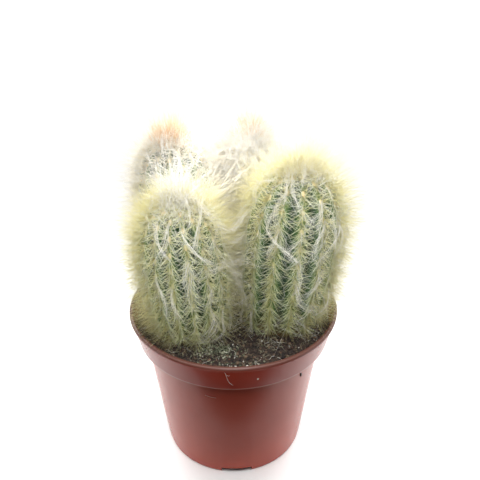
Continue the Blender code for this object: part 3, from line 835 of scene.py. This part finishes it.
def makePlastic():
    # injection-moulded polypropylene in red-brown: satin, with a painted highlight on the collar's lower
    # edge, the collar painted darker than the body as shade, and painted shade on the lip
    tree, shader = newMaterial("moulded_polypropylene", IOR=1.49, Specular_IOR_Level=0.28, Roughness=0.27,
                               Subsurface_Weight=0.08, Subsurface_Scale=0.002)
    # moulded grain about 0.4 mm across, drawn coarser than the real one so that it shows
    place, _ = addGrain(tree, shader, {"Scale": 2200.0, "Detail": 2.0}, 0.12, 0.0002)
    parts = addNode(tree, "SeparateXYZ", links={0: (place, "Object")})
    # 60 to 85 mm over the floor as 0 to 1: body, painted highlight on the collar's lower edge at 66 to 67 mm,
    #                                       collar painted darker as shade, painted shade on the lip from 80
    #                                       mm
    height = addNode(tree, "MapRange", {"From Min": 0.06, "From Max": 0.085}, {"Value": (parts, "Z")})
    zones = setRamp(addNode(tree, "ValToRGB", links={"Fac": (height, 0)}),
                    [(0.0, "#A04433"), (0.242, "#A04433"), (0.256, "#BC8A7E"), (0.276, "#AC6C5E"),
                     (0.296, "#943322"), (0.785, "#943322"), (0.815, "#63382F"), (0.86, "#573932")])
    cloud = addNode(tree, "TexNoise", {"Scale": 45.0, "Detail": 5.0}, {"Vector": (place, "Object")})
    colour = addNode(tree, "Mix", {"data_type": "RGBA", "blend_type": "OVERLAY", 0: 0.12},
                     {6: (zones, 0), 7: (cloud, "Fac")})
    tree.links.new(colour.outputs[2], shader.inputs["Base Color"])


def buildPot():
    # the section turned round the axis; the drain slots' faces are left out of both skins and walled
    line = roundedLine(pot["under"] + pot["outside"] + pot["mouth"] + pot["floor"])
    columns = pot["columns"]
    pitch = math.tau / columns
    start = math.radians(pot["slotTurn"] - 90) - pot["slotColumns"] / 2 * pitch
    angle = start + np.arange(columns) * pitch
    grid = np.stack([line[:, :1] * np.cos(angle), line[:, :1] * np.sin(angle),
                     np.repeat(line[:, 1:], columns, axis=1)], -1)
    points, (quads, *caps) = closeGrid(grid, [(0, 0, line[0, 1]), (0, 0, line[-1, 1])])
    marks = [int(np.argmin(np.hypot(*(line - corner[:2]).T)))
             for corner in (pot["under"][1], pot["under"][3], pot["mouth"][-1], pot["floor"][1])]
    outer, inner = np.arange(marks[0], marks[1] + 1), np.arange(marks[3], marks[2] - 1, -1)
    row, column = np.divmod(np.arange(len(quads)), columns)
    inSlot = column % (columns // pot["slots"]) < pot["slotColumns"]
    between = ((row >= marks[0]) & (row < marks[1])) | ((row >= marks[2]) & (row < marks[3]))
    quads = quads[~(inSlot & between)]
    walls = []
    for slot in range(pot["slots"]):
        left = slot * columns // pot["slots"]
        right = left + pot["slotColumns"]
        across = np.arange(left, right + 1)
        rims = [(outer * columns + edge, inner * columns + edge) for edge in (left, right)]
        rims += [(outer[end] * columns + across, inner[end] * columns + across) for end in (0, -1)]
        walls += [np.stack([out[:-1], out[1:], back[1:], back[:-1]], -1) for out, back in rims]
    made = buildMesh("pot_shell", points, [quads, *walls, *caps], "moulded_polypropylene", None, True,
                     ["pot"])
    bpy.context.view_layer.objects.active = made
    made.select_set(True)
    bpy.ops.object.mode_set(mode="EDIT")
    bpy.ops.mesh.select_all(action="SELECT")
    bpy.ops.mesh.normals_make_consistent(inside=False)
    bpy.ops.object.mode_set(mode="OBJECT")
    made.select_set(False)
    made.data.set_sharp_from_angle(angle=math.radians(40))


# Soil

# foot, neck and ledge are radius and height of the plug's side; fibres and fallen are places tried
soil = dict(rings=64, columns=220, edge=48.9, foot=(35.3, 1.9), neck=(43.5, 66.1), ledge=(47.1, 67.8),
            fibres=660, fallen=120, seed=5)
# loose bits: places tried, least distance from the middle, sizes, and how far they stand out of the soil
looseBits = {"peat_crumbs": (4160, 0, (0.35, 1.15), 0.2), "bark_bits": (420, 35, (0.3, 0.75), 0.2),
             "perlite_bits": (160, 0, (0.25, 0.6), 0.5)}
# bits left on the pot: look, bearings, distances from the middle, count and sizes
rimBits = {"rim_dirt": ("bark_bits", (-150, -137), (48.6, 51.6), 14, (0.25, 0.7)),
           "rim_grains": ("perlite_bits", (-98, -88), (44.5, 49.2), 16, (0.25, 0.6))}
# moss: a lump before the gap of the front stems, and crumbs along the front of the rim
moss = dict(count=520, middle=(-7.0, -34.0), spread=(6.0, 2.6), size=(12.0, 5.2), mound=1.9,
            rimCount=90, rimBearing=(-94, 9), rimReach=(43.5, 48.5))


def soilHeight(x, y):
    # lumpy top: three sizes of lump, a dished edge, and a hole for each stem's stub
    flat = np.stack([x, y, 0 * x], -1)
    height = soilLevel + 0.9 * lumps(flat, 9, 1) + 0.7 * lumps(flat, 3.2, 2) + 0.35 * lumps(flat, 1.3, 3)
    return height - 1.4 * np.clip((np.hypot(x, y) - 44) / 5, 0, 1) ** 2


def makeSoil():
    # damp peat mix: nearly black, fibrous and matt, with brown crumbs about 1.4 mm wide
    tree, shader = newMaterial("damp_peat_mix", Roughness=0.85)
    _, speck = addGrain(tree, shader, {"Scale": 700.0, "Detail": 8.0, "Roughness": 0.7}, 0.9, 0.0008)
    colour = setRamp(addNode(tree, "ValToRGB", links={"Fac": (speck, "Fac")}),
                     [(0.35, "#1C1513"), (0.55, "#35271F"), (0.7, "#5A4030"), (0.8, "#8A6A4C")])
    tree.links.new(colour.outputs[0], shader.inputs["Base Color"])


def buildSoil():
    # the plug: side rings that follow the pot's inside, then the lumpy top in rings to the middle
    angle = evenTurns(soil["columns"])
    side = [soil["foot"], soil["neck"], soil["ledge"]]
    radius = np.concatenate([[ring[0] for ring in side], soil["edge"] * np.linspace(1, 0.02, soil["rings"])])
    x, y = radius[:, None] * np.cos(angle), radius[:, None] * np.sin(angle)
    z = soilHeight(x, y)
    z[:3] = [[ring[1]] for ring in side]
    for stem in stems.values():
        away = np.hypot(x[3:] - stem["base"][0], y[3:] - stem["base"][1])
        hole = stem["radius"] * stem["foot"] - ribs["depth"] - 0.5
        z[3:] -= 18 * np.clip((hole - away) / 0.8, 0, 1)
    points, faces = closeGrid(np.stack([x, y, z], -1), [(0, 0, soil["foot"][1]), (0, 0, float(z[-1].mean()))])
    buildMesh("soil_plug", points, faces, "damp_peat_mix", None, True, ["soil"])


def openSoil(draw, count, edge=48.0):
    # random places on the bare soil, none inside a stem
    radius = edge * np.sqrt(draw.random(count))
    turn = draw.uniform(0, math.tau, count)
    x, y = radius * np.cos(turn), radius * np.sin(turn)
    free = np.ones(count, bool)
    for stem in stems.values():
        free &= np.hypot(x - stem["base"][0], y - stem["base"][1]) > stem["radius"] * stem["foot"] - 1
    return x[free], y[free]


def buildBits(name, look, x, y, sizes, draw, lift, flatness=0.7, ground=None):
    # loose bits: a five-sided ball of two rings and two poles, each squashed, turned and dented at random
    count = len(x)
    turn = evenTurns(5)
    upper = np.stack([np.cos(turn) * 0.89, np.sin(turn) * 0.89, np.full(5, 0.45)], -1)
    lower = np.stack([np.cos(turn + 0.63) * 0.89, np.sin(turn + 0.63) * 0.89, np.full(5, -0.45)], -1)
    ball = np.concatenate([lower, upper, [(0, 0, -1), (0, 0, 1)]])
    shape = ball[None] * draw.uniform(0.65, 1.25, (count, 12, 1)) * draw.uniform(0.6, 1.3, (count, 1, 3))
    shape[..., 2] *= flatness
    spin = draw.uniform(0, math.tau, count)[:, None]
    cos, sin = np.cos(spin), np.sin(spin)
    turned = np.stack([shape[..., 0] * cos - shape[..., 1] * sin,
                       shape[..., 0] * sin + shape[..., 1] * cos, shape[..., 2]], -1)
    ground = soilHeight(x, y) if ground is None else ground
    middle = np.stack([x, y, ground + sizes * lift], -1)
    points = middle[:, None] + turned * sizes[:, None, None]
    column = np.arange(5)
    after = (column + 1) % 5
    one = np.concatenate([np.stack([column, after, column + 5], -1),
                          np.stack([after, after + 5, column + 5], -1),
                          capFaces(0, 5, 10, False), capFaces(5, 5, 11, True)])
    tones = np.repeat(draw.random(count), 12)
    buildMesh(name, points.reshape(-1, 3), repeatFaces([one], count, 12), look, {"tone": tones}, False)


def lyingPaths(draw, count, length, curl):
    # threads that lie on the soil: the heading swings like a sine, and the height ripples over the ground
    x, y = (part[:, None] for part in openSoil(draw, count, 46.5))
    count, steps = len(x), 8
    share = np.linspace(0, 1, steps)[None]
    heading = (draw.uniform(0, math.tau, count)[:, None]
               + draw.normal(0, curl, count)[:, None] * np.sin(share * draw.uniform(3, 7, count)[:, None]))
    step = draw.uniform(*length, count)[:, None] / steps
    x, y = x + np.cumsum(np.cos(heading) * step, axis=1), y + np.cumsum(np.sin(heading) * step, axis=1)
    shrink = np.minimum(1, 48.0 / np.hypot(x, y))
    x, y = x * shrink, y * shrink
    ripple = 0.7 * np.abs(np.sin(share * 5 + draw.uniform(0, 6, count)[:, None]))
    return np.stack([x, y, soilHeight(x, y) + rest["overSoil"] + ripple], -1)


def buildThreads(name, paths, thickness, look, draw):
    # threads of one kind, each of its own thickness and tone
    radii = np.full(paths.shape[:2], thickness) * draw.uniform(0.6, 1.3, len(paths))[:, None]
    strandMesh(name, paths, radii, look, draw.random(len(paths)) ** 2)


def buildSoilBits():
    # peat crumbs all over, red-brown bark towards the rim, white perlite, moss, root fibres and fallen hairs
    draw = np.random.default_rng(soil["seed"])
    for name, (tried, nearest, sizes, lift) in looseBits.items():
        x, y = openSoil(draw, tried)
        kept = np.hypot(x, y) > nearest
        x, y = x[kept], y[kept]
        buildBits(name, name, x, y, draw.uniform(*sizes, len(x)), draw, lift)
    lump = draw.normal(0, 1, (moss["count"], 2)) * moss["spread"] + moss["middle"]
    rim = np.radians(draw.normal(*moss["rimBearing"], moss["rimCount"]))
    reach = draw.uniform(*moss["rimReach"], moss["rimCount"])
    x = np.concatenate([lump[:, 0], reach * np.cos(rim)])
    y = np.concatenate([lump[:, 1], reach * np.sin(rim)])
    far = np.hypot((x - moss["middle"][0]) / moss["size"][0], (y - moss["middle"][1]) / moss["size"][1])
    mound = moss["mound"] * np.clip(1 - far, 0, 1) * draw.random(len(x))
    buildBits("moss_crumbs", "moss_crumbs", x, y, draw.uniform(0.2, 0.55, len(x)), draw, 0.4, 0.8,
              soilHeight(x, y) + mound)
    for name, (look, bearings, reaches, count, sizes) in rimBits.items():
        turn = np.radians(draw.uniform(*bearings, count))
        reach = draw.uniform(*reaches, count)
        # dirt lies on the lip or just inside it, the grains on the soil
        ground = np.where(reach > 50.4, potTop - 0.1, potTop - 2.2) if name == "rim_dirt" else None
        buildBits(name, look, reach * np.cos(turn), reach * np.sin(turn), draw.uniform(*sizes, count), draw,
                  0.4, 0.6, ground)
    for name, count, length, curl, thickness, look in (
            ("root_fibres", soil["fibres"], (3, 9), 2.2, 0.08, "root_fibres"),
            ("fallen_hairs", soil["fallen"], (4, 12), 1.6, 0.05, "white_wool")):
        buildThreads(name, lyingPaths(draw, count, length, curl), thickness, look, draw)


def buildPotMarks():
    # what sticks to the pot in front: a hair on the collar, a pale grain, a dark one and a scratch
    draw = np.random.default_rng(soil["seed"] + 1)
    hair = smoothLine([(-3.2, -52.2, 79.2), (-2.7, -51.4, 77.0), (-2.3, -50.9, 74.9), (-1.4, -50.4, 72.1),
                       (0.5, -49.9, 69.9)], 12)
    curl = smoothLine([(-2.6, -51.4, 77.2), (-1.7, -51.3, 76.6), (-1.1, -51.2, 76.8)], 12)
    buildThreads("collar_hair", np.stack([hair, curl]), 0.07, "white_wool", draw)
    turn, wall = np.radians([-107.0, -103.2, -99.5]), 44.22  # wall is the pot's radius at the scratch
    scratch = smoothLine(np.stack([wall * np.cos(turn), wall * np.sin(turn), [57.4, 56.8, 56.7]], -1), 8)
    buildThreads("body_scratch", scratch[None], 0.11, "worn_plastic", draw)
    buildBits("collar_grain", "pale_grain", *(np.array([part]) for part in (11.3, -49.0, 0.42)), draw, 0, 1,
              np.array([72.9]))
    speck = smoothLine([(32.5, -30.7, 60.4), (32.8, -30.2, 59.0), (32.7, -29.9, 57.6)], 8)
    buildThreads("body_speck", speck[None], 0.4, "dark_grain", draw)


# Studio

stage = dict(
    # colour of the paper by distance from the pot's middle, painted lighter near the pot against its shade
    # and greyer further out against the strongest light, and half its side, in metres
    paper=[(0.05, "#F6F6F5"), (0.3, "#BDBDBC"), (0.9, "#D0D0CF")], paperHalf=9.0,
    camera=(3.36, -240.12, 240.79), pitchDown=27.355, lens=42.0,
)


def addToStudio(name, data, place=(0, 0, 0)):
    # an object at a place in mm
    made = bpy.data.objects.new(name, data)
    made.location = [part * mm for part in place]
    bpy.context.scene.collection.objects.link(made)
    return made


def addSheet(name, corners, look):
    # one flat quad, from corners in metres
    mesh = bpy.data.meshes.new(name)
    mesh.from_pydata(corners, [], [(0, 1, 2, 3)])
    mesh.materials.append(looks[look])
    made = addToStudio(name, mesh)
    made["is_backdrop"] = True
    return made


def buildStage():
    # white paper, painted lighter near the pot against its shade and greyer further out where the light is
    # strongest, and a camera fitted to the pot's rings
    tree, shader = newMaterial("matt_white_paper", Roughness=0.9)
    place = addNode(tree, "TexCoord")
    reach = addNode(tree, "VectorMath", {"operation": "LENGTH"}, {0: (place, "Object")})
    colour = setRamp(addNode(tree, "ValToRGB", links={"Fac": (reach, "Value")}), stage["paper"])
    tree.links.new(colour.outputs[0], shader.inputs["Base Color"])
    half = stage["paperHalf"]
    addSheet("floor", [(-half, -half, 0), (half, -half, 0), (half, half, 0), (-half, half, 0)],
             "matt_white_paper")
    view = bpy.data.cameras.new("camera")
    view.lens, view.sensor_width = stage["lens"], 36.0
    view.clip_start, view.clip_end = 0.01, 50.0
    camera = addToStudio("camera", view, stage["camera"])
    camera.rotation_euler = (math.radians(90 - stage["pitchDown"]), 0, 0)
    bpy.context.scene.camera = camera


skylight = dict(strength=2.7, spread=60)  # big soft light overhead
# place, middle it aims at, side and power: over the viewer's head close to the plants, low before the pot,
# high behind them, and from behind at both sides
softBoxes = {"soft_box": ((0, -150, 260), (0, 0, 130), 90, 0.24),
             "low_box": ((0, -230, 40), (0, 0, 30), 120, 0.055),
             "back_box": ((0, 170, 340), (0, 20, 150), 150, 0.25),
             "left_box": ((-180, 170, 300), (-25, 10, 130), 120, 0.4),
             "right_box": ((180, 170, 300), (25, 10, 130), 120, 0.4)}
glow = dict(place=(-4, 10, 167), radius=7, power=0.04)  # small lamp between the crowns, where light burns out
tent = dict(back=1.05, front=0.5)  # brightness of the white tent behind and in front of the plant
blackCard = dict(front=-60, half=85, top=80)  # stands before the pot, out of sight, and darkens its collar


def buildLights():
    # the overhead light, the soft boxes, the small lamp, the tent, which is darker in front, and the card
    sky = bpy.data.lights.new("skylight", "SUN")
    sky.energy, sky.angle = skylight["strength"], math.radians(skylight["spread"])
    addToStudio("skylight", sky)
    for name, (place, middle, side, power) in softBoxes.items():
        box = bpy.data.lights.new(name, "AREA")
        box.energy, box.size = power, side * mm
        made = addToStudio(name, box, place)
        made.rotation_euler = (Vector(middle) - Vector(place)).to_track_quat("-Z", "Y").to_euler()
        made.visible_camera = False
    lamp = bpy.data.lights.new("glow_lamp", "POINT")
    lamp.energy, lamp.shadow_soft_size = glow["power"], glow["radius"] * mm
    addToStudio("glow_lamp", lamp, glow["place"]).visible_camera = False
    world = bpy.data.worlds.new("white_tent")
    world.use_nodes = True
    tree = world.node_tree
    place = addNode(tree, "TexCoord")
    parts = addNode(tree, "SeparateXYZ", links={0: (place, "Generated")})
    level = addNode(tree, "MapRange", {"interpolation_type": "SMOOTHSTEP", "From Min": -0.9, "From Max": 0.0,
                                       "To Min": tent["front"], "To Max": tent["back"]},
                    {"Value": (parts, "Y")})
    ray = addNode(tree, "LightPath")
    seen = addNode(tree, "Mix", {3: 1.0}, {0: (ray, "Is Camera Ray"), 2: (level, 0)})
    tree.links.new(seen.outputs[0], tree.nodes["Background"].inputs["Strength"])
    tree.nodes["Background"].inputs["Color"].default_value = (1, 1, 1, 1)
    bpy.context.scene.world = world
    half, top, front = (blackCard[key] * mm for key in ("half", "top", "front"))
    newMaterial("black_felt_card", Roughness=1.0, Specular_IOR_Level=0.0, Base_Color=fromHex("#0A0A0A"))
    card = addSheet("black_card", [(-half, front, mm), (half, front, mm), (half, front, top),
                                   (-half, front, top)], "black_felt_card")
    card.visible_camera = False
    card.visible_shadow = False
    bpy.context.scene.view_settings.view_transform = "Standard"


buildStage()
buildLights()
print("studio: paper, camera, soft boxes, tent and card")

makePlastic()
makeSoil()
makeSkin()
for lookName, kind in strandKinds.items():
    makeStrand(lookName, *kind)
for lookName, stops in bitKinds.items():
    makeBit(lookName, stops)
print("looks:", len(looks), "materials")

buildPot()
print("pot: turned shell with drain slots")

buildSoil()
buildSoilBits()
buildPotMarks()
print("soil: plug, crumbs, bark, perlite, moss and fibres, and the marks on the pot")

for stemName in stems:
    addLine(stems[stemName])
for stemName in stems:
    front = stemName.startswith("front")
    buildFlesh(stemName)
    buildPads(stemName)
    buildSpines(stemName, "dry_radial_spines" if front else "pale_radial_spines")
    buildBristles(stemName, "fine_bristles" if front else "pale_bristles")
    buildWool(stemName)
    tuft = {"front_right": "yellow", "front_left": "pale"}.get(stemName, "amber")
    fluff = "young_yellow_spines" if stemName == "front_right" else "white_wool"
    buildCrown(stemName, f"young_{tuft}_spines", fluff)
    print(f"{stemName}: flesh, felt, spines, wool and crown")
for slingName in slings:
    buildSling(slingName, bridges if slingName == "cobweb_wool" else ())
print("wool slung between the stems")

counts = {piece.name: sum(len(face.vertices) - 2 for face in piece.data.polygons)
          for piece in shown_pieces() if piece.type == "MESH"}
print("triangles:", sum(counts.values()), "largest:", max(counts.items(), key=lambda item: item[1]))
